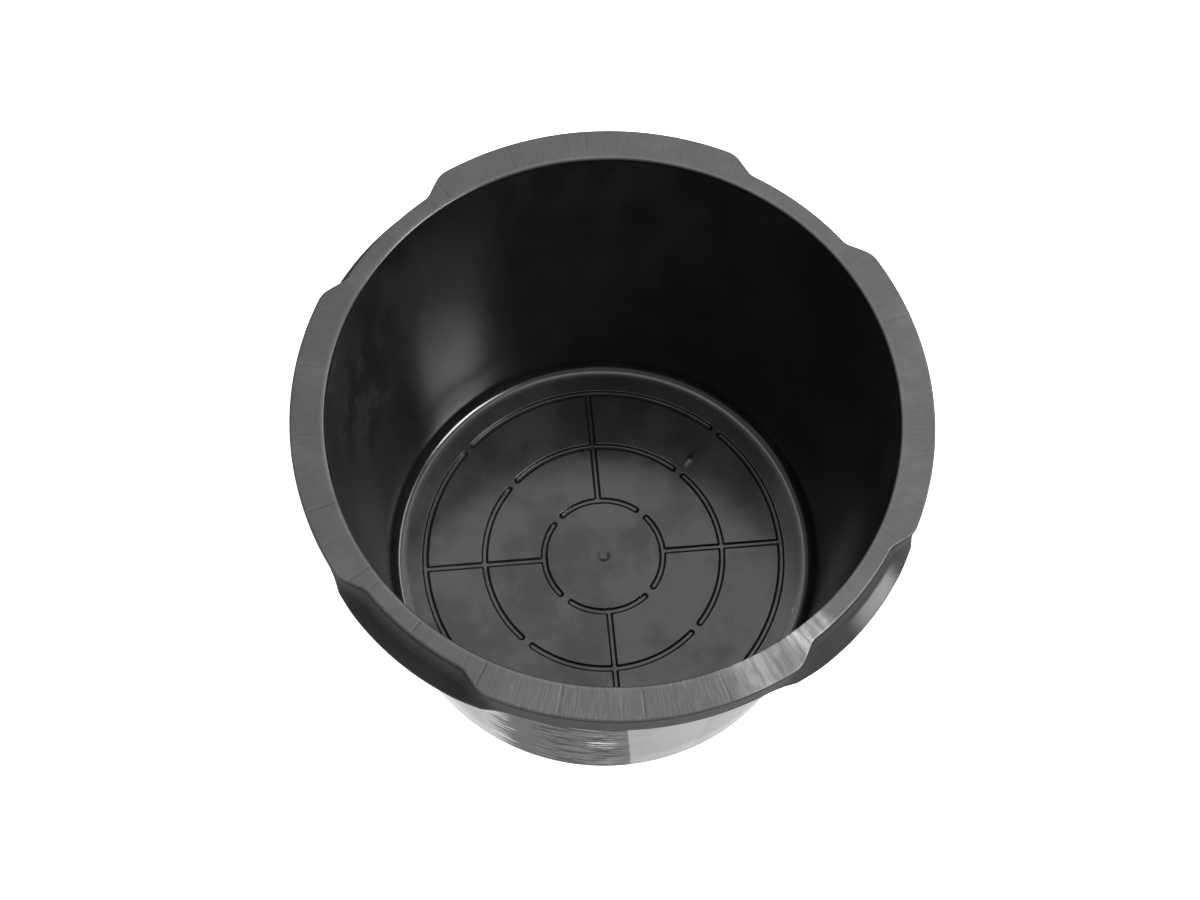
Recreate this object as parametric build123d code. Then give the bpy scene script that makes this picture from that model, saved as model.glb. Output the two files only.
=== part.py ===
from build123d import *
from math import cos, degrees, radians, sin
import os

# Florist bucket: a round, tapered, open bucket moulded in one piece of black plastic.
# Millimetres. +Z is up, the origin is the middle of the foot's standing plane, and the
# four floor spokes and the four rim lobes lie along +X, +Y, -X and -Y.

# Body
HEIGHT = 220.0              # standing plane to the top of the rim
MOUTH_RADIUS = 146.0        # inner face of the wall, at the top of the rim
FLOOR_EDGE_RADIUS = 121.6   # inner face of the wall, carried down to the floor
FLOOR_TOP = 15.0            # height of the floor's upper face
WALL = 2.4
FLOOR_THICKNESS = 2.6
CORNER_FILLET = 7.0         # inside, between the floor and the wall
FLOOR_DISC_RADIUS = 114.0   # where the flat floor hands over to the curved corner
FOOT_THICKNESS = 2.4
FOOT_ROUNDING = 0.6

# Grooves pressed into the floor, and the ribs that they make under it
RING_RADII = (34.5, 69.0, 103.5)
GROOVE_WIDTH = 4.0
GROOVE_DEPTH = 1.2
GROOVE_GAP = 4.0            # unbroken floor between two neighbouring arcs of a ring
RIB_WIDTH = 6.4
RIB_DEPTH = 3.0
GATE_RADIUS = 3.6           # shallow moulding mark in the middle of the floor
GATE_DEPTH = 0.4

# Rim
FLANGE_THICKNESS = 2.4
MOUTH_ROUNDING = 1.5
RIM_EDGE_ROUNDING = 0.7
LOBE_RADIUS = 163.5
RECESS_RADIUS = 156.0
LOBE_HALF_ANGLE = 28.6      # degrees, to the lobe's outer corner
RECESS_START_ANGLE = 33.2   # degrees, to the recess's inner corner
LOBE_CORNER_ROUNDING = 10.0
RECESS_CORNER_ROUNDING = 6.0
SKIRT_BOTTOM = 196.8
SKIRT_THICKNESS = 2.0
LOBE_DRAFT = 2.3            # how far the lobe's skirt leans in from top to bottom
RECESS_DRAFT = 3.1          # how far the recess wall leans out from top to bottom
SKIRT_CUT_ANGLE = 34.6      # degrees, where a lobe's skirt hands over to a recess wall
RADIUS_TOLERANCE = 0.1      # for picking corners and edges by their radius

# Ledge at the foot of each recess
LEDGE_RADIUS = 165.0        # in the middle of the recess, the widest point of the bucket
LEDGE_END_RADIUS = 164.2
LEDGE_END_ANGLE = 15.0      # degrees each way from the middle of the recess
LEDGE_EDGE_HEIGHT = 198.6
LEDGE_INNER_HEIGHT = 206.1  # where its top face, carried inwards, meets the recess radius

# Gussets between the wall and the skirt, under the flange
GUSSET_COUNT = 24
GUSSET_THICKNESS = 1.4
GUSSET_BOTTOM = 200.0

FLANGE_BOTTOM = HEIGHT - FLANGE_THICKNESS
FLOOR_BOTTOM = FLOOR_TOP - FLOOR_THICKNESS
WALL_SLOPE = (MOUTH_RADIUS - FLOOR_EDGE_RADIUS) / (HEIGHT - FLOOR_TOP)
FAR = 400.0                 # longer than anything in the model

LOBE_ANGLES = {"right": 0, "back": 90, "left": 180, "front": 270}
RECESS_ANGLES = {"back_right": 45, "back_left": 135, "front_left": 225, "front_right": 315}


def polar(radius, angle):
    """Point at a radius and an angle in degrees."""
    return (radius * cos(radians(angle)), radius * sin(radians(angle)))


def inner_radius(z):
    """Radius of the wall's inner face at height z."""
    return FLOOR_EDGE_RADIUS + WALL_SLOPE * (z - FLOOR_TOP)


def outer_radius(z):
    """Radius of the wall's outer face at height z."""
    return inner_radius(z) + WALL


def is_at_radius(point, radius):
    """True if a point or a corner lies at that radius from Z."""
    return abs(Vector(point.X, point.Y).length - radius) < RADIUS_TOLERANCE


def spin(points):
    """Solid of revolution about Z from a closed outline of (radius, height) points."""
    return revolve(Plane.XZ * make_face(Polyline(*points, close=True)), Axis.Z)


def wedge(start, stop):
    """Tall wedge about Z from the start angle to the stop angle, in degrees."""
    corners = [(0, 0), polar(FAR, start), polar(FAR, (start + stop) / 2), polar(FAR, stop)]
    return extrude(make_face(Polyline(*corners, close=True)), amount=FAR)


# ---------------------------------------------------------------- body and floor

def side_wall():
    """Tapered wall with the rounded corner that leads onto the floor."""
    outline = make_face(Polyline(
        (FLOOR_DISC_RADIUS, FLOOR_BOTTOM),
        (FLOOR_DISC_RADIUS, FLOOR_TOP),
        (FLOOR_EDGE_RADIUS, FLOOR_TOP),
        (inner_radius(FLANGE_BOTTOM), FLANGE_BOTTOM),
        (outer_radius(FLANGE_BOTTOM), FLANGE_BOTTOM),
        (outer_radius(FLOOR_BOTTOM), FLOOR_BOTTOM),
        close=True,
    ))
    corner = outline.vertices().sort_by_distance((FLOOR_EDGE_RADIUS, FLOOR_TOP))[0]
    outline = fillet(corner, CORNER_FILLET)
    return revolve(Plane.XZ * outline, Axis.Z)


def foot_ring():
    """Ring that carries the wall down past the floor to the standing plane."""
    top, bottom = outer_radius(FLOOR_BOTTOM), outer_radius(0)
    outline = make_face(Polyline(
        (top - FOOT_THICKNESS, FLOOR_BOTTOM),
        (top, FLOOR_BOTTOM),
        (bottom, 0),
        (bottom - FOOT_THICKNESS, 0),
        close=True,
    ))
    edges = outline.vertices().sort_by(Axis.Y)[:2]
    outline = fillet(edges, FOOT_ROUNDING)
    return revolve(Plane.XZ * outline, Axis.Z)


def quadrant_pattern(angle, width):
    """One spoke and the three ring arcs that cross it, as a flat sketch."""
    first, last = RING_RADII[0], RING_RADII[-1]
    pattern = Pos((first + last) / 2, 0) * Rectangle(last - first, width)
    for radius in RING_RADII:
        gap = (GROOVE_GAP + GROOVE_WIDTH) / 2 / radius
        half = 45 - degrees(gap)
        pattern += SlotArc(CenterArc((0, 0), radius, -half, 2 * half), width)
    return Rot(0, 0, angle) * pattern


def base_floor():
    """Flat floor disc with three broken ring grooves, four spoke grooves and a gate mark."""
    disc = Pos(0, 0, FLOOR_BOTTOM) * extrude(Circle(FLOOR_DISC_RADIUS), amount=FLOOR_THICKNESS)
    for angle in LOBE_ANGLES.values():
        groove = Pos(0, 0, FLOOR_TOP) * quadrant_pattern(angle, GROOVE_WIDTH)
        disc -= extrude(groove, amount=-GROOVE_DEPTH)
    gate = Pos(0, 0, FLOOR_TOP - GATE_DEPTH) * extrude(Circle(GATE_RADIUS), amount=GATE_DEPTH)
    return disc - gate


def floor_rib(angle):
    """Rib under the floor that backs one spoke and its three ring arcs."""
    pattern = Pos(0, 0, FLOOR_BOTTOM) * quadrant_pattern(angle, RIB_WIDTH)
    return extrude(pattern, amount=-RIB_DEPTH)


# ---------------------------------------------------------------- rim

def rim_outline(lobe, recess, z):
    """Closed rim outline: four lobes and four recesses joined by short rounded ramps."""
    edges = []
    for angle in LOBE_ANGLES.values():
        lobe_end = polar(lobe, angle + LOBE_HALF_ANGLE)
        recess_start = polar(recess, angle + RECESS_START_ANGLE)
        recess_end = polar(recess, angle + 90 - RECESS_START_ANGLE)
        next_lobe = polar(lobe, angle + 90 - LOBE_HALF_ANGLE)
        edges += [
            ThreePointArc(polar(lobe, angle - LOBE_HALF_ANGLE), polar(lobe, angle), lobe_end),
            Line(lobe_end, recess_start),
            ThreePointArc(recess_start, polar(recess, angle + 45), recess_end),
            Line(recess_end, next_lobe),
        ]
    face = make_face(edges)
    middle = (lobe + recess) / 2
    outer = [v for v in face.vertices() if Vector(v.X, v.Y).length > middle]
    face = fillet(outer, LOBE_CORNER_ROUNDING)
    inner = [v for v in face.vertices() if is_at_radius(v, recess)]
    face = fillet(inner, RECESS_CORNER_ROUNDING)
    return Pos(0, 0, z) * face


def skirt_block(inset):
    """Solid bounded by the skirt's face, set in by a wall thickness."""
    top = rim_outline(LOBE_RADIUS - inset, RECESS_RADIUS - inset, FLANGE_BOTTOM)
    bottom = rim_outline(
        LOBE_RADIUS - LOBE_DRAFT - inset,
        RECESS_RADIUS + RECESS_DRAFT - inset,
        SKIRT_BOTTOM,
    )
    return loft([bottom.faces()[0], top.faces()[0]], ruled=True)


def body_cone(radius_at, bottom, top):
    """Solid cone that follows one face of the wall between two heights."""
    return spin([(0, bottom), (radius_at(bottom), bottom), (radius_at(top), top), (0, top)])


def rim_flange():
    """Flat rim with a rounded mouth edge, following the lobes and recesses."""
    outline = rim_outline(LOBE_RADIUS, RECESS_RADIUS, FLANGE_BOTTOM)
    plate = extrude(outline, amount=FLANGE_THICKNESS)
    plate = fillet(plate.edges().group_by(Axis.Z)[-1], RIM_EDGE_ROUNDING)
    plate -= body_cone(inner_radius, FLANGE_BOTTOM, HEIGHT)
    top_edges = plate.edges().group_by(Axis.Z)[-1]
    mouth = [e for e in top_edges if is_at_radius(e.position_at(0.5), MOUTH_RADIUS)]
    return fillet(mouth, MOUTH_ROUNDING)


def lobe_skirt(angle, ring):
    """Skirt under one lobe, with the ramps at its two ends."""
    return ring & wedge(angle - SKIRT_CUT_ANGLE, angle + SKIRT_CUT_ANGLE)


def grip_recess(angle, ring, block):
    """Wall of one recess and the ledge that runs along its foot."""
    half = 45 - SKIRT_CUT_ANGLE
    wall = ring & wedge(angle - half, angle + half)
    section = spin([
        (RECESS_RADIUS, SKIRT_BOTTOM),
        (LEDGE_RADIUS, SKIRT_BOTTOM),
        (LEDGE_RADIUS, LEDGE_EDGE_HEIGHT),
        (RECESS_RADIUS, LEDGE_INNER_HEIGHT),
    ])
    start = polar(LEDGE_END_RADIUS, angle - LEDGE_END_ANGLE)
    stop = polar(LEDGE_END_RADIUS, angle + LEDGE_END_ANGLE)
    front = ThreePointArc(start, polar(LEDGE_RADIUS, angle), stop)
    sector = make_face([front, Line(stop, (0, 0)), Line((0, 0), start)])
    ledge = (section & extrude(sector, amount=FAR)) - block
    return wall + ledge


def rim_gussets(pocket):
    """Thin radial plates that tie the wall to the skirt under the flange."""
    height = FLANGE_BOTTOM - GUSSET_BOTTOM
    middle = Pos(LOBE_RADIUS / 2, 0, GUSSET_BOTTOM + height / 2)
    plate = middle * Box(LOBE_RADIUS, GUSSET_THICKNESS, height)
    pitch = 360 / GUSSET_COUNT
    gussets = [Rot(0, 0, pitch * i) * plate & pocket for i in range(GUSSET_COUNT)]
    return Compound([solid for gusset in gussets for solid in gusset.solids()])


def build():
    """Every sub-part by name."""
    block = skirt_block(0)
    hollow = skirt_block(SKIRT_THICKNESS)
    ring = block - hollow
    pocket = hollow - body_cone(outer_radius, SKIRT_BOTTOM, FLANGE_BOTTOM)
    parts = {
        "side_wall": side_wall(),
        "base_floor": base_floor(),
        "foot_ring": foot_ring(),
        "rim_flange": rim_flange(),
        "rim_gussets": rim_gussets(pocket),
    }
    for name, angle in LOBE_ANGLES.items():
        parts["floor_rib_" + name] = floor_rib(angle)
        parts["lobe_skirt_" + name] = lobe_skirt(angle, ring)
    for name, angle in RECESS_ANGLES.items():
        parts["grip_recess_" + name] = grip_recess(angle, ring, block)
    return parts


os.makedirs("parts", exist_ok=True)
for name, shape in build().items():
    export_step(shape, "parts/" + name + ".step")
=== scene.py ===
import math

import bmesh
import bpy
import numpy as np
from mathutils import Matrix, Vector


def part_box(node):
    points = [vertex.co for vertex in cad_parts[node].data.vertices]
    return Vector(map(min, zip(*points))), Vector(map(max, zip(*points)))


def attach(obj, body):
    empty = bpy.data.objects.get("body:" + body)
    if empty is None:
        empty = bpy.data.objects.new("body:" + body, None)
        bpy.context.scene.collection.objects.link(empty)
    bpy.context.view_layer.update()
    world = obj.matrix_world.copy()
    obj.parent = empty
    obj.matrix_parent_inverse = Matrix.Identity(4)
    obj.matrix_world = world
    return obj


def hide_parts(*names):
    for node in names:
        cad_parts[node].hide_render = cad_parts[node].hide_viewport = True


# Florist bucket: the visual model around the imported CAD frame. Shapes are worked out in
# millimetres, in the frame's own axes, and turned into metres when a mesh is made.

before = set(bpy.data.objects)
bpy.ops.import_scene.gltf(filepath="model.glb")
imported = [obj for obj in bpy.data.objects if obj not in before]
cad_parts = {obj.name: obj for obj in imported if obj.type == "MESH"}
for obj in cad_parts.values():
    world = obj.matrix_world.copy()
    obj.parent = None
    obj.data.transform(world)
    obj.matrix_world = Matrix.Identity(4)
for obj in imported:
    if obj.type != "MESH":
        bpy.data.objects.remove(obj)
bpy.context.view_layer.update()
MM = 0.001

# ---------------------------------------------------------------- driving dimensions, mm

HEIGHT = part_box("rim_flange")[1].z / MM
LOBE_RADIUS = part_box("rim_flange")[1].x / MM
FLANGE_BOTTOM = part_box("rim_flange")[0].z / MM
SKIRT_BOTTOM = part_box("lobe_skirt_right")[0].z / MM
FLOOR_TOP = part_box("base_floor")[1].z / MM
FLOOR_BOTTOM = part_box("base_floor")[0].z / MM
FLOOR_DISC_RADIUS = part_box("base_floor")[1].x / MM
RIB_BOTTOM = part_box("floor_rib_right")[0].z / MM

MOUTH_RADIUS = 146.0
FLOOR_EDGE_RADIUS = 121.6
WALL = 2.4
CORNER_FILLET = 7.0
FOOT_THICKNESS = 2.4
FOOT_ROUNDING = 0.6
MOUTH_ROUNDING = 1.5
RIM_ROUNDING = 0.9

RECESS_RADIUS = 156.0
LOBE_HALF_ANGLE = 28.6
RECESS_START_ANGLE = 33.2
LOBE_BLEND = 2.2            # how much radius the lobe's corner rounding takes up
RECESS_BLEND = 1.4
SKIRT_CUT_ANGLE = 34.6
SKIRT_THICKNESS = 2.0
LOBE_DRAFT = 2.3
RECESS_DRAFT = 3.1
SKIRT_ROUNDING = 0.7

LEDGE_RADIUS = 165.0
LEDGE_END_RADIUS = 164.2
LEDGE_END_ANGLE = 16.5
LEDGE_FALL = 0.7            # radius lost per degree beyond the ledge's end
LEDGE_CREASE_HEIGHT = 204.5
LEDGE_EDGE_HEIGHT = 198.7
LEDGE_BLEND = 1.8
CREASE_ROUNDING = 0.9

RING_RADII = (34.5, 69.0, 103.5)
GROOVE_WIDTH = 4.0          # at the floor's face, where the groove's walls start
GROOVE_BED = 0.8            # half width of the groove's flat bed
GROOVE_GAP = 4.0            # unbroken floor between two neighbouring arcs of a ring
GROOVE_DEPTH = 1.2
RIB_HALF_WIDTH = 3.35       # at the floor's under face
RIB_FACE = 2.75             # half width of the rib's flat face
JUNCTION_BLEND = 0.8
GATE_RADIUS = 5.5           # outer edge of the gate mark, which slopes down to its flat middle
GATE_FLAT = 1.0
GATE_DEPTH = 0.5
SPECK_PLACE = 56.6          # both ways from the axis
SPECK_HEIGHT = 0.30
SPECK_SPREAD = 1.6

GUSSET_PITCH = 15.0         # degrees between the gussets, and so between their sink marks
SINK_DEPTH = 0.22
SINK_WIDTH = 0.55
RAMP_SINK_ANGLE = 33.6      # from a lobe's middle, over the thick foot of each ramp

WAVES = (                   # unevenness of the wall: size, waves in a turn, phase, mm of height per radian
    (0.10, 3, 0.8, 70.0),
    (0.07, 7, -1.9, -45.0),
    (0.035, 17, 0.4, 25.0),
)

WALL_SLOPE = (MOUTH_RADIUS - FLOOR_EDGE_RADIUS) / (HEIGHT - FLOOR_TOP)
LEAN = math.atan(WALL_SLOPE)
LOBES = {"right": 0, "back": 90, "left": 180, "front": 270}
RECESSES = {"back_right": 45, "back_left": 135, "front_left": 225, "front_right": 315}

# ---------------------------------------------------------------- colours, places of the wear and the matt patches, painted shadow lines, painted highlight and shade

PLASTIC = (0.0065, 0.0063, 0.0060)
DUSTY = (0.019, 0.0184, 0.0176)
SCUFFED = (0.078, 0.0755, 0.072)
# near-white colour of the streaky patches on the front-right stretch of the flange's top
NEAR_WHITE = (0.42, 0.412, 0.40)
SKIRT_SHADE = (0.024, 0.0235, 0.0225)
# colour of the painted shadow lines under the flange's edge and along the skirts' bottom edge
PAINTED_EDGE_SHADOW = (0.004, 0.0039, 0.0037)
SKIRT_DULLNESS = 0.88       # share of matt surface on the skirts

# Angles about the axis, in degrees from -180 to 180.
FRONT = -90.0               # middle of the front lobe
SCRATCHED = (FRONT - 34.0, FRONT + 34.0)
NEAR_WHITE_STRETCH = (FRONT + 12.0, FRONT + 36.0)
BRIGHT_STRETCH = (FRONT + 27.0, FRONT + 40.0)
# stretch where the ledge is left glossy, so the lamp's highlight shows there alone: a painted highlight
GLOSSY_LEDGE = (FRONT + 40.0, FRONT + 58.0)
PATCH_LEFT = (FRONT - 33.0, FRONT - 29.5)
PATCH_RIGHT = (FRONT + 1.7, FRONT + 2.4)
PATCH_LEAN = 0.027          # degrees that the patch's right edge shifts per mm of height
PATCH_STREAKS = (FRONT - 26.0, FRONT + 3.0)
PATCH_GLINTS = (FRONT - 11.0, FRONT - 1.5)
DULLER_FROM = (FRONT + 18.7, FRONT + 19.1)  # right of the patch, a small step in dullness: painted shade that darkens the outer wall there
WIPED = (138.0, 179.0)

# ---------------------------------------------------------------- lights and camera, m

WORLD_STRENGTH = 0.7
TABLE_GLOW = 0.9            # light coming through the table, which lifts the shadow
TABLE_RADIUS = 12
LIGHT_TARGET = (0, 0, 0.2)
LIGHTS = (                  # name, place, size, power in watts
    ("softbox_above", (0.16, 0.62, 1.9), (1.0, 1.7), 12),
    ("softbox_right", (1.15, 0.56, 1.20), (0.8, 0.8), 14),
    ("key_right", (0.95, -0.42, 1.45), (0.5, 0.5), 24),
    ("low_right", (1.47, -0.49, 0.58), (0.35, 0.35), 8),
)

CAMERA_DISTANCE = 1.2588    # from the middle of the rim
CAMERA_ELEVATION = 65.71
CAMERA_AZIMUTH = -98.91
CAMERA_ROLL = 3.83
CAMERA_TILT = -0.908
CAMERA_PAN = 0.306
CAMERA_LENS = 74.66         # mm, on a sensor 36 mm wide
SENSOR_WIDTH = 36


# ---------------------------------------------------------------- outlines

def inner_radius(z):
    """Radius of the wall's inner face at height z."""
    return FLOOR_EDGE_RADIUS + WALL_SLOPE * (z - FLOOR_TOP)


def outer_radius(z):
    """Radius of the wall's outer face at height z."""
    return inner_radius(z) + WALL


def smooth_min(a, b, width):
    """The lower of two values, with a rounded change-over where they are within width."""
    overlap = np.clip(width - np.abs(a - b), 0, None) / width
    return np.minimum(a, b) - overlap ** 2 * width / 4


def smooth_max(a, b, width):
    """The higher of two values, with a rounded change-over."""
    return -smooth_min(-a, -b, width)


def smooth_step(low, high, value):
    """0 at low, 1 at high, and an S between them."""
    t = np.clip((value - low) / (high - low), 0, 1)
    return t * t * (3 - 2 * t)


def from_lobe(angle):
    """Degrees from the middle of the nearest lobe, 0 to 45."""
    return np.abs((np.asarray(angle) + 45) % 90 - 45)


def rim_radius(angle, z, inset=0.0):
    """Radius of the rim's outer face at an angle and height: lobes, recesses and ramps."""
    drop = (FLANGE_BOTTOM - z) / (FLANGE_BOTTOM - SKIRT_BOTTOM)
    lobe = LOBE_RADIUS - LOBE_DRAFT * np.clip(drop, 0, None) - inset
    recess = RECESS_RADIUS + RECESS_DRAFT * drop - inset
    along = (from_lobe(angle) - LOBE_HALF_ANGLE) / (RECESS_START_ANGLE - LOBE_HALF_ANGLE)
    ramp = lobe + (recess - lobe) * along
    return smooth_max(smooth_min(lobe, ramp, LOBE_BLEND), recess, RECESS_BLEND)


def ledge_radius(angle):
    """Radius of the ledge's edge at the foot of a recess, falling away under the lobes."""
    from_recess = 45 - from_lobe(angle)
    bulge = (LEDGE_RADIUS - LEDGE_END_RADIUS) / LEDGE_END_ANGLE ** 2
    beyond = np.clip(from_recess - LEDGE_END_ANGLE, 0, None)
    return LEDGE_RADIUS - bulge * from_recess ** 2 - LEDGE_FALL * beyond


def merged_angles(*groups):
    """Sorted angle lines in degrees, 0 to 360, without near doubles."""
    lines = np.sort(np.round(np.concatenate(groups) % 360, 2))
    keep = np.concatenate([[True], np.diff(lines) > 0.12])
    return lines[keep]


def rim_angles():
    """Angle lines for the rim: closer at the ramps and over the sink marks."""
    even = np.arange(0, 360, 1.25)
    ramps = [a + s * np.arange(25.6, 36.1, 0.375) for a in LOBES.values() for s in (-1, 1)]
    sinks = [a + np.arange(-0.8, 0.9, 0.16) for a in sink_strengths()]
    cuts = [np.array([a + s * SKIRT_CUT_ANGLE]) for a in LOBES.values() for s in (-1, 1)]
    cut_lines = np.concatenate(cuts) % 360
    lines = merged_angles(even, *ramps, *sinks)
    clear = np.min(np.abs(lines[:, None] - cut_lines[None, :]), axis=1) > 0.15
    return np.sort(np.concatenate([lines[clear], cut_lines]))


# ---------------------------------------------------------------- mesh building

def rounded_loop(corners, cuts, runs, steps=5):
    """Closed section path for every angle line.

    corners: (radius, height) pairs, each an array over the angle lines or one number.
    cuts: how far from each corner its rounding starts. runs: pieces in the run after it.
    Returns arrays of radius and height, lines by points."""
    count = max(np.size(v) for corner in corners for v in corner)
    path = [np.stack([np.broadcast_to(np.asarray(v, float), count) for v in c], 1) for c in corners]
    radius, height = [], []
    for i, corner in enumerate(path):
        before, after = path[i - 1] - corner, path[(i + 1) % len(path)] - corner
        if cuts[i]:
            first = corner + before / np.linalg.norm(before, axis=1)[:, None] * cuts[i]
            last = corner + after / np.linalg.norm(after, axis=1)[:, None] * cuts[i]
            shares = np.linspace(0, 1, steps + 1)
            curve = [first * (1 - t) ** 2 + 2 * corner * t * (1 - t) + last * t * t for t in shares]
        else:
            curve = [corner]
        nxt = path[(i + 1) % len(path)]
        if cuts[(i + 1) % len(path)]:
            nxt = nxt - after / np.linalg.norm(after, axis=1)[:, None] * cuts[(i + 1) % len(path)]
        run = [curve[-1] + (nxt - curve[-1]) * k / runs[i] for k in range(1, runs[i])]
        for p in curve + run:
            radius.append(p[:, 0])
            height.append(p[:, 1])
    return np.stack(radius, 1), np.stack(height, 1)


def finish_mesh(name, points, faces, material, replaces):
    """One closed, smooth-shaded piece on the root body that stands for CAD nodes."""
    mesh = bpy.data.meshes.new(name)
    mesh.from_pydata((points * MM).tolist(), [], faces)
    bm = bmesh.new()
    bm.from_mesh(mesh)
    bmesh.ops.recalc_face_normals(bm, faces=bm.faces)
    bm.to_mesh(mesh)
    bm.free()
    mesh.shade_smooth()
    mesh.set_sharp_from_angle(angle=math.radians(50))
    mesh.materials.append(material)
    piece = bpy.data.objects.new(name, mesh)
    bpy.context.scene.collection.objects.link(piece)
    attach(piece, "root")
    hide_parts(*replaces)
    return piece


def swept(name, angles, radius, height, material, replaces, closed=True):
    """Piece swept about Z through the sections at the angle lines."""
    turn = np.radians(angles)[:, None]
    points = np.stack([radius * np.cos(turn), radius * np.sin(turn), height], 2)
    lines, ring = radius.shape
    index = np.arange(lines * ring).reshape(lines, ring)
    faces = []
    for a in range(lines if closed else lines - 1):
        here, there = index[a], index[(a + 1) % lines]
        quads = np.stack([here, there, np.roll(there, -1), np.roll(here, -1)], 1)
        faces += quads.tolist()
    if not closed:
        faces += [index[0].tolist(), index[-1][::-1].tolist()]
    return finish_mesh(name, points.reshape(-1, 3), faces, material, replaces)


# ---------------------------------------------------------------- body

def wall_wave(angle, z):
    """Small radial unevenness of the moulded wall, in mm, gone at the floor and at the rim."""
    turn = np.radians(angle)[:, None]
    fade = smooth_step(FLOOR_TOP, FLOOR_TOP + 60, z) * smooth_step(HEIGHT, HEIGHT - 25, z)
    return fade * sum(size * np.sin(count * turn + phase + z / twist) for size, count, phase, twist in WAVES)


def build_wall(material):
    """Tapered wall with the rounded inside corner."""
    angles = np.arange(0, 360, 1.0)
    corner = CORNER_FILLET * math.tan((math.pi / 2 - LEAN) / 2)
    corners = [
        (FLOOR_DISC_RADIUS, FLOOR_TOP),
        (FLOOR_EDGE_RADIUS, FLOOR_TOP),
        (inner_radius(FLANGE_BOTTOM), FLANGE_BOTTOM),
        (outer_radius(FLANGE_BOTTOM), FLANGE_BOTTOM),
        (outer_radius(FLOOR_BOTTOM), FLOOR_BOTTOM),
        (FLOOR_DISC_RADIUS, FLOOR_BOTTOM),
    ]
    corners = [(np.full(len(angles), r), z) for r, z in corners]
    radius, height = rounded_loop(corners, [0, corner, 0, 0, 0, 0], [2, 40, 1, 40, 3, 1], steps=14)
    radius = radius + wall_wave(angles, height)
    return swept("bucket_wall", angles, radius, height, material, ["side_wall"])


def build_foot(material):
    """Ring that the bucket stands on."""
    angles = np.arange(0, 360, 1.0)
    top, bottom = outer_radius(FLOOR_BOTTOM), outer_radius(0)
    corners = [
        (top - FOOT_THICKNESS, FLOOR_BOTTOM),
        (top, FLOOR_BOTTOM),
        (bottom, 0),
        (bottom - FOOT_THICKNESS, 0),
    ]
    corners = [(np.full(len(angles), r), z) for r, z in corners]
    radius, height = rounded_loop(corners, [0, 0, FOOT_ROUNDING, FOOT_ROUNDING], [1, 5, 1, 5])
    return swept("foot_ring_moulding", angles, radius, height, material, ["foot_ring"])


# ---------------------------------------------------------------- floor

def floor_lines():
    """Angle lines of one quadrant as a function of radius, and the radii of the ring lines.

    Lines beside a spoke and beside a gap keep a constant distance from it, in mm. They are
    close together over a groove's walls."""
    beside = np.array([0, 0.4, 0.75, 1.0, 1.3, 1.6, 1.9, 2.1, 2.4, 2.75, 3.05, 3.35, 4.0, 5.2])
    gap = np.array([0, 0.8, 1.4, 1.9, 2.4, 2.9, 3.5, 4.3, 5.4, 7.0])
    between = np.linspace(0, 1, 12)[1:-1]
    rings = [r + s * beside for r in RING_RADII for s in (-1, 1)]
    centre = np.array([0.6, 1.2, 1.8, 2.4, 3.0, 3.4, 3.8, 4.4, 5.5, 8, 12, 16, 20, 24.5])
    fill = np.array([44, 49, 54, 59, 79, 80, 81, 84, 89, 94, 111.5, FLOOR_DISC_RADIUS])
    radii = np.unique(np.round(np.concatenate([*rings, centre, fill]), 3))
    reach = np.maximum(radii, 30.0)[:, None]
    spoke_side = np.degrees(np.arcsin(beside / reach))
    gap_side = 45 - np.degrees(np.arcsin(gap / reach))
    span = gap_side[:, -1:] - spoke_side[:, -1:]
    middle = spoke_side[:, -1:] + span * between
    half = np.concatenate([spoke_side, middle, gap_side[:, ::-1]], 1)
    return radii, np.concatenate([-half[:, :0:-1], half], 1)[:, 1:]


def groove_distance(radius, fold):
    """Distance to the middle line of the nearest groove, from radius and folded angle."""
    x, y = radius * np.cos(np.radians(fold)), radius * np.sin(np.radians(fold))
    first, last = RING_RADII[0], RING_RADII[-1]
    distance = np.hypot(x - np.clip(x, first, last), y)
    for ring in RING_RADII:
        end = 45 - math.degrees((GROOVE_GAP + GROOVE_WIDTH) / 2 / ring)
        near = np.radians(np.minimum(fold, end))
        arc = np.hypot(x - ring * np.cos(near), y - ring * np.sin(near))
        distance = smooth_min(distance, arc, JUNCTION_BLEND)
    return distance


def floor_top_height(radius, angle):
    """Height of the floor's upper face, with its grooves, gate mark and raised speck."""
    fold = from_lobe(angle)
    groove = 1 - smooth_step(GROOVE_BED, GROOVE_WIDTH / 2, groove_distance(radius, fold))
    x, y = radius * np.cos(np.radians(angle)), radius * np.sin(np.radians(angle))
    gate = GATE_DEPTH * (1 - smooth_step(GATE_FLAT, GATE_RADIUS, radius))
    from_speck = (x - SPECK_PLACE) ** 2 + (y - SPECK_PLACE) ** 2
    speck = SPECK_HEIGHT * np.exp(-from_speck / SPECK_SPREAD)
    return FLOOR_TOP - GROOVE_DEPTH * groove - gate + speck


def floor_under_height(radius, angle):
    """Height of the floor's under face, with its ribs."""
    distance = groove_distance(radius, from_lobe(angle))
    rib = 1 - smooth_step(RIB_FACE, RIB_HALF_WIDTH, distance)
    return FLOOR_BOTTOM - (FLOOR_BOTTOM - RIB_BOTTOM) * rib


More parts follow.
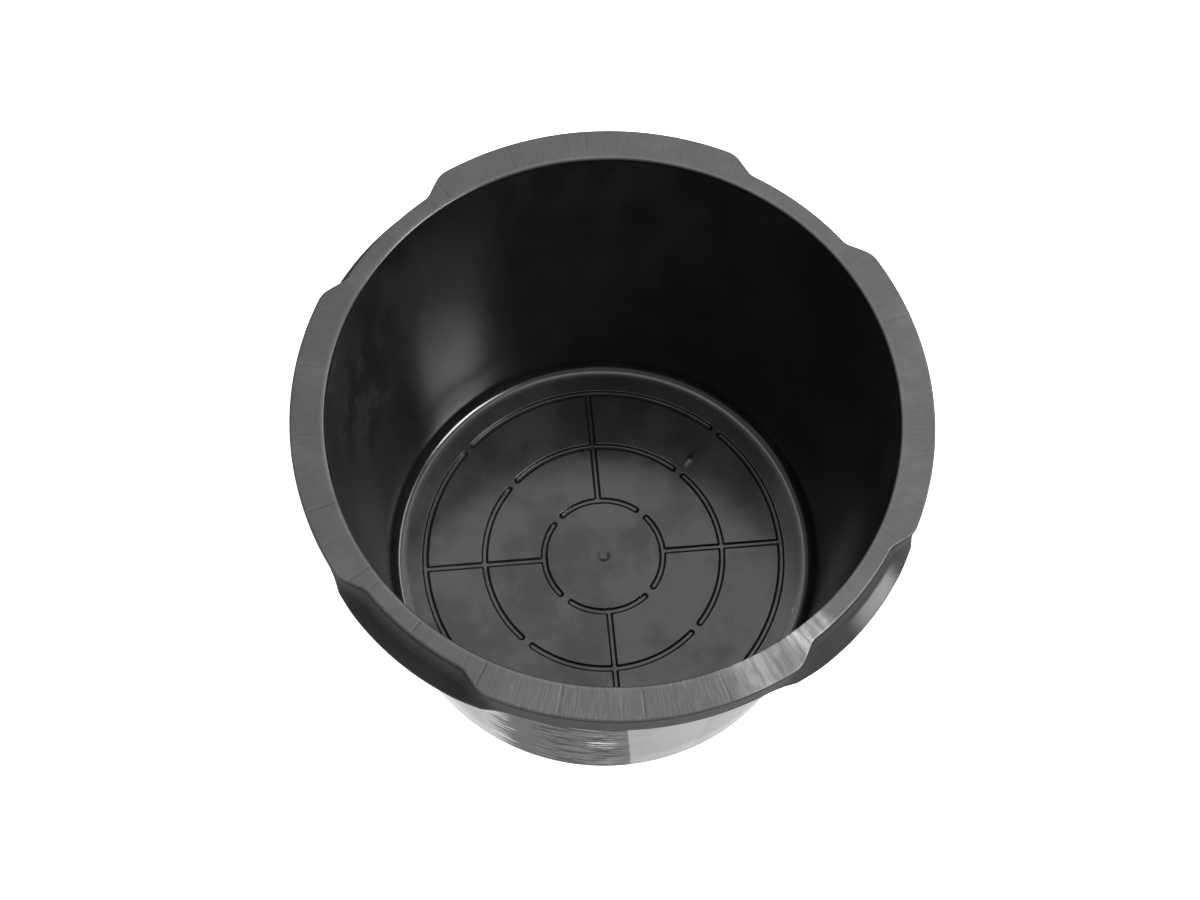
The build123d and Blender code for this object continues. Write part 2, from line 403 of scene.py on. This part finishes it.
def build_floor(material):
    """Floor disc with grooves above and ribs below, as one closed mesh."""
    radii, quadrant = floor_lines()
    angle = np.concatenate([quadrant + a for a in LOBES.values()], 1)
    radius = np.broadcast_to(radii[:, None], angle.shape)
    rings, lines = angle.shape
    flat = np.stack([radius * np.cos(np.radians(angle)), radius * np.sin(np.radians(angle))], 2)
    top = np.concatenate([flat, floor_top_height(radius, angle)[:, :, None]], 2)
    under = np.concatenate([flat, floor_under_height(radius, angle)[:, :, None]], 2)
    centres = [[0, 0, floor_top_height(0, 0)], [0, 0, floor_under_height(0, 0)]]
    points = np.concatenate([top.reshape(-1, 3), under.reshape(-1, 3), centres])
    upper = np.arange(rings * lines).reshape(rings, lines)
    lower = upper + rings * lines
    hub_top, hub_under = 2 * rings * lines, 2 * rings * lines + 1
    faces = []
    for grid in (upper, lower):
        for i in range(rings - 1):
            a, b = grid[i], grid[i + 1]
            faces += np.stack([a, b, np.roll(b, -1), np.roll(a, -1)], 1).tolist()
    edge_top, edge_under = upper[-1], lower[-1]
    faces += np.stack([edge_top, edge_under, np.roll(edge_under, -1), np.roll(edge_top, -1)], 1).tolist()
    for grid, hub in ((upper, hub_top), (lower, hub_under)):
        faces += [[hub, int(a), int(b)] for a, b in zip(grid[0], np.roll(grid[0], -1))]
    ribs = ["floor_rib_" + name for name in LOBES]
    return finish_mesh("bucket_floor", points, faces, material, ["base_floor", *ribs])


# ---------------------------------------------------------------- rim

def sink_strengths():
    """How deep each sink mark is, by its angle: deeper towards the front, and uneven."""
    draws = np.random.default_rng(7)
    marks = {}
    for angle in np.arange(0, 360, GUSSET_PITCH):
        facing = 0.5 - 0.5 * math.sin(math.radians(angle))
        marks[angle] = (0.35 + 0.75 * facing) * draws.uniform(0.75, 1.15)
    for lobe in LOBES.values():
        for side in (-1, 1):
            marks[(lobe + side * RAMP_SINK_ANGLE) % 360] = draws.uniform(0.25, 0.55)
    marks[LOBES["front"] + RAMP_SINK_ANGLE] = 1.0
    return marks


def sink_depth(angle, radius):
    """Depth of the sink marks in the flange's top, over the gussets and the ramps' feet."""
    depth = np.zeros(np.broadcast(angle, radius).shape)
    for mark, strength in sink_strengths().items():
        off = (angle - mark + 180) % 360 - 180
        across = np.radians(off) * radius
        depth += strength * SINK_DEPTH * np.exp(-(across / SINK_WIDTH) ** 2)
    return depth


def build_flange(material):
    """Flat rim with rounded edges and sink marks."""
    angles = rim_angles()
    outer_top = rim_radius(angles, HEIGHT)
    outer_low = rim_radius(angles, FLANGE_BOTTOM)
    mouth_cut = MOUTH_ROUNDING * math.tan((math.pi / 2 - LEAN) / 2)
    corners = [
        (outer_radius(FLANGE_BOTTOM), FLANGE_BOTTOM),
        (inner_radius(FLANGE_BOTTOM), FLANGE_BOTTOM),
        (MOUTH_RADIUS, HEIGHT),
        (outer_top, HEIGHT),
        (outer_low, FLANGE_BOTTOM),
    ]
    radius, height = rounded_loop(corners, [0, 0, mouth_cut, RIM_ROUNDING, 0], [1, 2, 18, 3, 4], steps=7)
    turn = angles[:, None]
    edge = rim_radius(angles, HEIGHT)[:, None]
    inside = smooth_step(MOUTH_RADIUS, MOUTH_RADIUS + 3, radius) * smooth_step(edge, edge - 2.5, radius)
    on_top = smooth_step(HEIGHT - 1.0, HEIGHT - 0.2, height)
    height = height - on_top * inside * sink_depth(turn, radius)
    return swept("rim_flange_moulding", angles, radius, height, material, ["rim_flange"])


def skirt_section(angles):
    """Section of the skirt at each angle line, with the ledge where there is a recess."""
    outer_top = rim_radius(angles, FLANGE_BOTTOM)
    crease = rim_radius(angles, LEDGE_CREASE_HEIGHT)
    face = rim_radius(angles, LEDGE_EDGE_HEIGHT)
    edge = smooth_max(face, ledge_radius(angles), LEDGE_BLEND)
    foot = edge - face + rim_radius(angles, SKIRT_BOTTOM)
    inner_top = rim_radius(angles, FLANGE_BOTTOM, SKIRT_THICKNESS)
    inner_low = rim_radius(angles, SKIRT_BOTTOM, SKIRT_THICKNESS)
    corners = [
        (outer_top, FLANGE_BOTTOM),
        (crease, LEDGE_CREASE_HEIGHT),
        (edge, LEDGE_EDGE_HEIGHT),
        (foot, SKIRT_BOTTOM),
        (inner_low, SKIRT_BOTTOM),
        (inner_top, FLANGE_BOTTOM),
    ]
    cuts = [0, CREASE_ROUNDING, SKIRT_ROUNDING, SKIRT_ROUNDING, SKIRT_ROUNDING, 0]
    return rounded_loop(corners, cuts, [8, 5, 2, 3, 6, 2])


def build_skirt(name, middle, half, material):
    """One stretch of the skirt, from middle - half to middle + half degrees."""
    lines = rim_angles()
    off = (lines - middle + 180) % 360 - 180
    chosen = np.sort(off[np.abs(off) <= half + 0.01])
    angles = middle + chosen
    radius, height = skirt_section(angles)
    return swept(name + "_moulding", angles, radius, height, material, [name], closed=False)


# ---------------------------------------------------------------- materials

class Graph:
    """Short calls for building a material's node tree."""

    def __init__(self, name):
        self.material = bpy.data.materials.new(name)
        self.material.use_nodes = True
        self.nodes = self.material.node_tree.nodes
        self.links = self.material.node_tree.links
        self.nodes.clear()
        self.shader = self.nodes.new("ShaderNodeBsdfPrincipled")
        self.surface = self.nodes.new("ShaderNodeOutputMaterial").inputs["Surface"]
        self.put(self.surface, self.shader.outputs[0])

    def put(self, socket, value):
        """Links an output to a socket, or sets the socket's value."""
        if isinstance(value, bpy.types.NodeSocket):
            self.links.new(value, socket)
        else:
            socket.default_value = value

    def math(self, operation, a, b=0.0, clamp=False):
        """One operation on two values, either of which may be a number."""
        node = self.nodes.new("ShaderNodeMath")
        node.operation = operation
        node.use_clamp = clamp
        self.put(node.inputs[0], a)
        self.put(node.inputs[1], b)
        return node.outputs[0]

    def band(self, value, low, high, bottom=0.0, top=1.0):
        """Smooth ramp of value from low to high, mapped to bottom..top."""
        node = self.nodes.new("ShaderNodeMapRange")
        node.interpolation_type = "SMOOTHSTEP"
        for socket, v in zip(node.inputs[:5], (value, low, high, bottom, top)):
            self.put(socket, v)
        return node.outputs[0]

    def vector(self, x, y, z):
        """Point made of three values."""
        node = self.nodes.new("ShaderNodeCombineXYZ")
        for socket, v in zip(node.inputs, (x, y, z)):
            self.put(socket, v)
        return node.outputs[0]

    def noise(self, vector, scale=1.0, detail=3.0, roughness=0.55):
        """Soft noise from about 0 to 1, at a point."""
        node = self.nodes.new("ShaderNodeTexNoise")
        self.put(node.inputs["Vector"], vector)
        node.inputs["Scale"].default_value = scale
        node.inputs["Detail"].default_value = detail
        node.inputs["Roughness"].default_value = roughness
        return node.outputs["Fac"]

    def mix(self, share, a, b):
        """Mix of two colours by a share: all a at 0, all b at 1."""
        node = self.nodes.new("ShaderNodeMix")
        node.data_type = "RGBA"
        self.put(node.inputs["Factor"], share)
        self.put(node.inputs["A"], (*a, 1.0) if isinstance(a, tuple) else a)
        self.put(node.inputs["B"], (*b, 1.0) if isinstance(b, tuple) else b)
        return node.outputs["Result"]

    def bump(self, height, distance, strength=1.0, normal=None):
        """Normal tilted by a height, on top of another normal if there is one."""
        node = self.nodes.new("ShaderNodeBump")
        node.inputs["Strength"].default_value = strength
        node.inputs["Distance"].default_value = distance
        self.put(node.inputs["Height"], height)
        if normal is not None:
            self.put(node.inputs["Normal"], normal)
        return node.outputs[0]

    def take_over(self, share, other):
        """Lets another shader node take over the main one by a share."""
        mixed = self.nodes.new("ShaderNodeMixShader")
        self.put(mixed.inputs["Fac"], share)
        self.put(mixed.inputs[1], self.shader.outputs[0])
        self.put(mixed.inputs[2], other.outputs[0])
        self.put(self.surface, mixed.outputs[0])

    def dull(self, share, colour):
        """Lets a plain matt surface take over by a share."""
        matt = self.nodes.new("ShaderNodeBsdfDiffuse")
        self.put(matt.inputs["Color"], (*colour, 1.0) if isinstance(colour, tuple) else colour)
        self.take_over(share, matt)

    def places(self):
        """Object position in mm: x, y, z, radius from the axis, and the angle about it."""
        coordinates = self.nodes.new("ShaderNodeTexCoord").outputs["Object"]
        scale = self.nodes.new("ShaderNodeVectorMath")
        scale.operation = "SCALE"
        self.put(scale.inputs[0], coordinates)
        scale.inputs["Scale"].default_value = 1 / MM
        split = self.nodes.new("ShaderNodeSeparateXYZ")
        self.put(split.inputs[0], scale.outputs[0])
        x, y, z = split.outputs
        squares = self.math("ADD", self.product(x, x), self.product(y, y))
        radius = self.math("MAXIMUM", self.math("SQRT", squares), 0.01)
        turn = self.product(self.math("ARCTAN2", y, x), 180 / math.pi)
        return x, y, z, radius, turn

    def around(self, x, y, radius, spread, inwards):
        """Point for noise that runs round the axis without a seam, stretched along the radius."""
        return self.vector(self.product(self.math("DIVIDE", x, radius), spread),
                           self.product(self.math("DIVIDE", y, radius), spread),
                           self.product(radius, inwards))

    def window(self, value, low, high, soft):
        """1 between low and high, with soft sides."""
        return self.product(self.band(value, low, low + soft), self.band(value, high, high - soft))

    def opposite(self, share):
        """What a share leaves of 1."""
        return self.math("SUBTRACT", 1.0, share)

    def product(self, *values):
        """All the values multiplied together."""
        result = values[0]
        for value in values[1:]:
            result = self.math("MULTIPLY", result, value)
        return result

    def total(self, *values):
        """All the values added up, kept within 0 to 1."""
        result = values[0]
        for value in values[1:]:
            result = self.math("ADD", result, value, clamp=True)
        return result


def rim_material():
    """Satin, scuffed plastic of the flange with fine radial scratches and near-white streaky patches, and
    its matt skirts with painted shadow lines under the flange's edge and at their foot, and one stretch of
    ledge left glossy as a painted highlight.
    """
    g = Graph("black_plastic_rim")
    x, y, z, radius, turn = g.places()
    scratches = g.noise(g.around(x, y, radius, 260.0, 0.10), detail=4)
    streaks = g.noise(g.around(x, y, radius, 70.0, 0.06), detail=4)
    patches = g.noise(g.vector(x, y, z), scale=0.04, detail=4, roughness=0.6)
    flange = g.band(z, HEIGHT - 0.8, HEIGHT - 0.15)

    front = g.window(turn, *SCRATCHED, 16.0)
    marks = g.product(g.band(scratches, 0.42, 0.74), g.band(front, 0.0, 1.0, 0.35, 1.0))
    worn = g.total(g.product(marks, 0.65), g.product(front, 0.12),
                   g.product(g.band(patches, 0.42, 0.68), 0.22))
    worn = g.product(worn, g.band(flange, 0.0, 1.0, 0.25, 1.0))

    # painted highlight: the ledge stays glossy only in this stretch, so the lamp's highlight shows there and
    # on no other ledge
    gloss = g.product(g.window(turn, *GLOSSY_LEDGE, 6.0), g.band(z, 205.5, 203.0))
    # painted shadow: dark lines just under the flange's edge and along the skirts' bottom edge, where shade
    # falls
    painted_edge_shadows = g.total(g.window(z, HEIGHT - 4.0, HEIGHT - 0.3, 1.2),
                         g.band(z, SKIRT_BOTTOM + 2.2, SKIRT_BOTTOM + 0.4))
    matt_share = g.product(g.band(flange, 0.0, 1.0, SKIRT_DULLNESS, 0.0), g.band(gloss, 0.0, 1.0, 1.0, 0.10))
    g.dull(matt_share, g.mix(painted_edge_shadows, SKIRT_SHADE, PAINTED_EDGE_SHADOW))

    # near-white streaky patches on the front-right stretch of the flange's top
    near_white = g.total(g.product(g.window(turn, *BRIGHT_STRETCH, 4.0), 0.55),
                     g.product(g.window(turn, *NEAR_WHITE_STRETCH, 8.0), 0.30))
    near_white = g.product(flange, near_white, g.band(patches, 0.35, 0.60, 0.35, 1.0),
                       g.band(streaks, 0.38, 0.62, 0.45, 1.0))
    g.put(g.shader.inputs["Base Color"], g.mix(near_white, g.mix(worn, DUSTY, SCUFFED), NEAR_WHITE))

    lip = g.band(radius, MOUTH_RADIUS + 2.4, MOUTH_RADIUS + 1.6, 0.34, 0.14)
    g.put(g.shader.inputs["Roughness"], g.math("ADD", g.product(worn, 0.25), lip))
    grain = g.noise(g.vector(x, y, z), scale=1.4, detail=3)
    scored = g.bump(scratches, 0.00005, 0.5)
    g.put(g.shader.inputs["Normal"], g.bump(grain, 0.00003, 0.5, scored))
    return g.material


def outside_dullness(g, x, y, z, turn):
    """Matt share of the wall's outer face: a ragged, streaked patch, and the zone right of it, which is
    painted shade.
    """
    level = g.noise(g.vector(g.product(x, 0.05), g.product(y, 0.05), g.product(z, 0.45)),
                    detail=5, roughness=0.65)
    ragged = g.math("ADD", turn, g.band(level, 0.3, 0.7, -5.0, 5.0))
    slanted = g.math("ADD", turn, g.product(z, PATCH_LEAN))
    patch = g.product(g.band(ragged, *PATCH_LEFT), g.band(slanted, *reversed(PATCH_RIGHT)))
    glints = g.product(g.window(turn, *PATCH_GLINTS, 3.0), g.window(z, 38.0, 100.0, 18.0),
                       g.band(level, 0.52, 0.58))
    streaks = g.product(g.window(turn, *PATCH_STREAKS, 8.0), g.band(level, 0.62, 0.42, -0.14, 0.16))
    streaked = g.math("SUBTRACT", g.math("ADD", streaks, 0.76), g.product(glints, 0.6), clamp=True)
    # painted shade: a little more matt share right of the patch darkens the outer wall there
    painted_shade_zone = g.product(g.band(slanted, *PATCH_RIGHT), g.band(turn, *DULLER_FROM, 0.42, 0.47))
    return g.total(g.product(patch, streaked), painted_shade_zone)


def wall_material():
    """Glossier plastic of the wall: soft smudges inside, and a dull zone outside."""
    g = Graph("black_plastic_wall")
    x, y, z, radius, turn = g.places()
    inside = g.band(g.math("SUBTRACT", radius, g.product(z, WALL_SLOPE)),
                    FLOOR_EDGE_RADIUS - 0.2, FLOOR_EDGE_RADIUS - 1.2)
    g.dull(g.product(outside_dullness(g, x, y, z, turn), g.opposite(inside)), SKIRT_SHADE)

    smudge = g.noise(g.vector(x, y, z), scale=0.011, detail=2, roughness=0.5)
    wisps = g.noise(g.vector(x, y, g.product(z, 0.5)), scale=0.035, detail=2, roughness=0.5)
    wiped = g.noise(g.vector(g.product(x, 1.6), y, g.product(z, 0.7)), scale=0.05, detail=3)
    wiped = g.product(g.window(turn, *WIPED, 14.0), g.window(z, 85.0, 205.0, 35.0),
                      g.band(wiped, 0.38, 0.68), inside)
    haze = g.total(g.product(g.band(smudge, 0.38, 0.72), 0.30), g.product(wiped, 0.8),
                   g.product(g.band(wisps, 0.38, 0.78), 0.45))
    g.put(g.shader.inputs["Base Color"], g.mix(haze, PLASTIC, DUSTY))
    g.put(g.shader.inputs["Roughness"],
          g.math("ADD", g.product(haze, 0.12), g.band(z, 20.0, 32.0, 0.13, 0.20)))
    fine = g.noise(g.vector(x, y, z), scale=0.5, detail=2)
    g.put(g.shader.inputs["Normal"], g.bump(fine, 0.00002, 0.25))
    return g.material


def floor_material():
    """Plastic of the floor, cloudy, with faint turning rings round the gate."""
    g = Graph("black_plastic_floor")
    x, y, z, radius, _ = g.places()
    turning = g.noise(g.vector(g.product(radius, 0.5), 0.0, 0.0), detail=3)
    near = g.band(radius, 38.0, 8.0)
    clouds = g.noise(g.vector(x, y, z), scale=0.03, detail=5, roughness=0.6)
    haze = g.total(g.product(g.band(clouds, 0.4, 0.7), 0.3),
                   g.product(near, g.band(turning, 0.35, 0.7), 0.35))
    g.put(g.shader.inputs["Base Color"], g.mix(haze, PLASTIC, DUSTY))
    g.put(g.shader.inputs["Specular IOR Level"], g.band(clouds, 0.38, 0.62, 0.30, 0.42))
    g.put(g.shader.inputs["Roughness"], g.math("ADD", g.product(haze, 0.10), 0.14))
    fine = g.noise(g.vector(x, y, z), scale=0.8, detail=3)
    rings = g.bump(g.product(turning, near), 0.00008, 0.6)
    g.put(g.shader.inputs["Normal"], g.bump(fine, 0.00003, 0.4, rings))
    return g.material


# ---------------------------------------------------------------- stage, lights and camera

def build_stage():
    """Large pale table that shows only from above."""
    g = Graph("pale_floor")
    g.shader.inputs["Base Color"].default_value = (0.9, 0.9, 0.9, 1)
    g.shader.inputs["Roughness"].default_value = 0.9
    g.shader.inputs["Emission Color"].default_value = (1.0, 1.0, 1.0, 1)
    g.shader.inputs["Emission Strength"].default_value = TABLE_GLOW
    g.shader.inputs["Specular IOR Level"].default_value = 0.1
    from_below = g.nodes.new("ShaderNodeNewGeometry").outputs["Backfacing"]
    g.take_over(from_below, g.nodes.new("ShaderNodeBsdfTransparent"))
    bpy.ops.mesh.primitive_circle_add(vertices=96, radius=TABLE_RADIUS, fill_type="NGON")
    floor = bpy.context.object
    floor.name = "pale_floor"
    floor.data.materials.append(g.material)


def area_light(name, place, size, power):
    """Soft rectangular light that faces the bucket."""
    data = bpy.data.lights.new(name, "AREA")
    data.shape = "RECTANGLE"
    data.size, data.size_y = size
    data.energy = power
    light = bpy.data.objects.new(name, data)
    light.location = place
    light.rotation_mode = "QUATERNION"
    light.rotation_quaternion = (Vector(LIGHT_TARGET) - Vector(place)).to_track_quat("-Z", "Y")
    bpy.context.scene.collection.objects.link(light)


def build_lights():
    """Soft surroundings, a large softbox above and three brighter ones on the right."""
    world = bpy.data.worlds.new("studio")
    world.use_nodes = True
    background = world.node_tree.nodes["Background"]
    background.inputs["Color"].default_value = (1.0, 1.0, 1.0, 1)
    background.inputs["Strength"].default_value = WORLD_STRENGTH
    bpy.context.scene.world = world
    for light in LIGHTS:
        area_light(*light)


def build_camera():
    """Camera high above the front, aimed close to the middle of the rim."""
    data = bpy.data.cameras.new("camera")
    data.sensor_width = SENSOR_WIDTH
    data.lens = CAMERA_LENS
    camera = bpy.data.objects.new("camera", data)
    bpy.context.scene.collection.objects.link(camera)
    azimuth, elevation = math.radians(CAMERA_AZIMUTH), math.radians(CAMERA_ELEVATION)
    back = Vector((math.cos(azimuth) * math.cos(elevation), math.sin(azimuth) * math.cos(elevation),
                   math.sin(elevation)))
    right = Vector((0, 0, 1)).cross(back).normalized()
    facing = Matrix((right, back.cross(right), back)).transposed()
    for axis, angle in (("Z", CAMERA_ROLL), ("X", CAMERA_TILT), ("Y", CAMERA_PAN)):
        facing = facing @ Matrix.Rotation(math.radians(angle), 3, axis)
    middle = Vector((0, 0, HEIGHT * MM))
    camera.matrix_world = Matrix.Translation(middle + back * CAMERA_DISTANCE) @ facing.to_4x4()
    bpy.context.scene.camera = camera


# ---------------------------------------------------------------- the whole scene

rim_plastic = rim_material()
wall_plastic = wall_material()
floor_plastic = floor_material()

build_wall(wall_plastic)
build_foot(wall_plastic)
build_floor(floor_plastic)
build_flange(rim_plastic)
for lobe_name, lobe_angle in LOBES.items():
    build_skirt("lobe_skirt_" + lobe_name, lobe_angle, SKIRT_CUT_ANGLE, rim_plastic)
for recess_name, recess_angle in RECESSES.items():
    build_skirt("grip_recess_" + recess_name, recess_angle, 45 - SKIRT_CUT_ANGLE, rim_plastic)

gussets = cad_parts["rim_gussets"]
gussets.data.materials.clear()
gussets.data.materials.append(rim_plastic)

build_stage()
build_lights()
build_camera()
bpy.context.scene.view_settings.view_transform = "Standard"
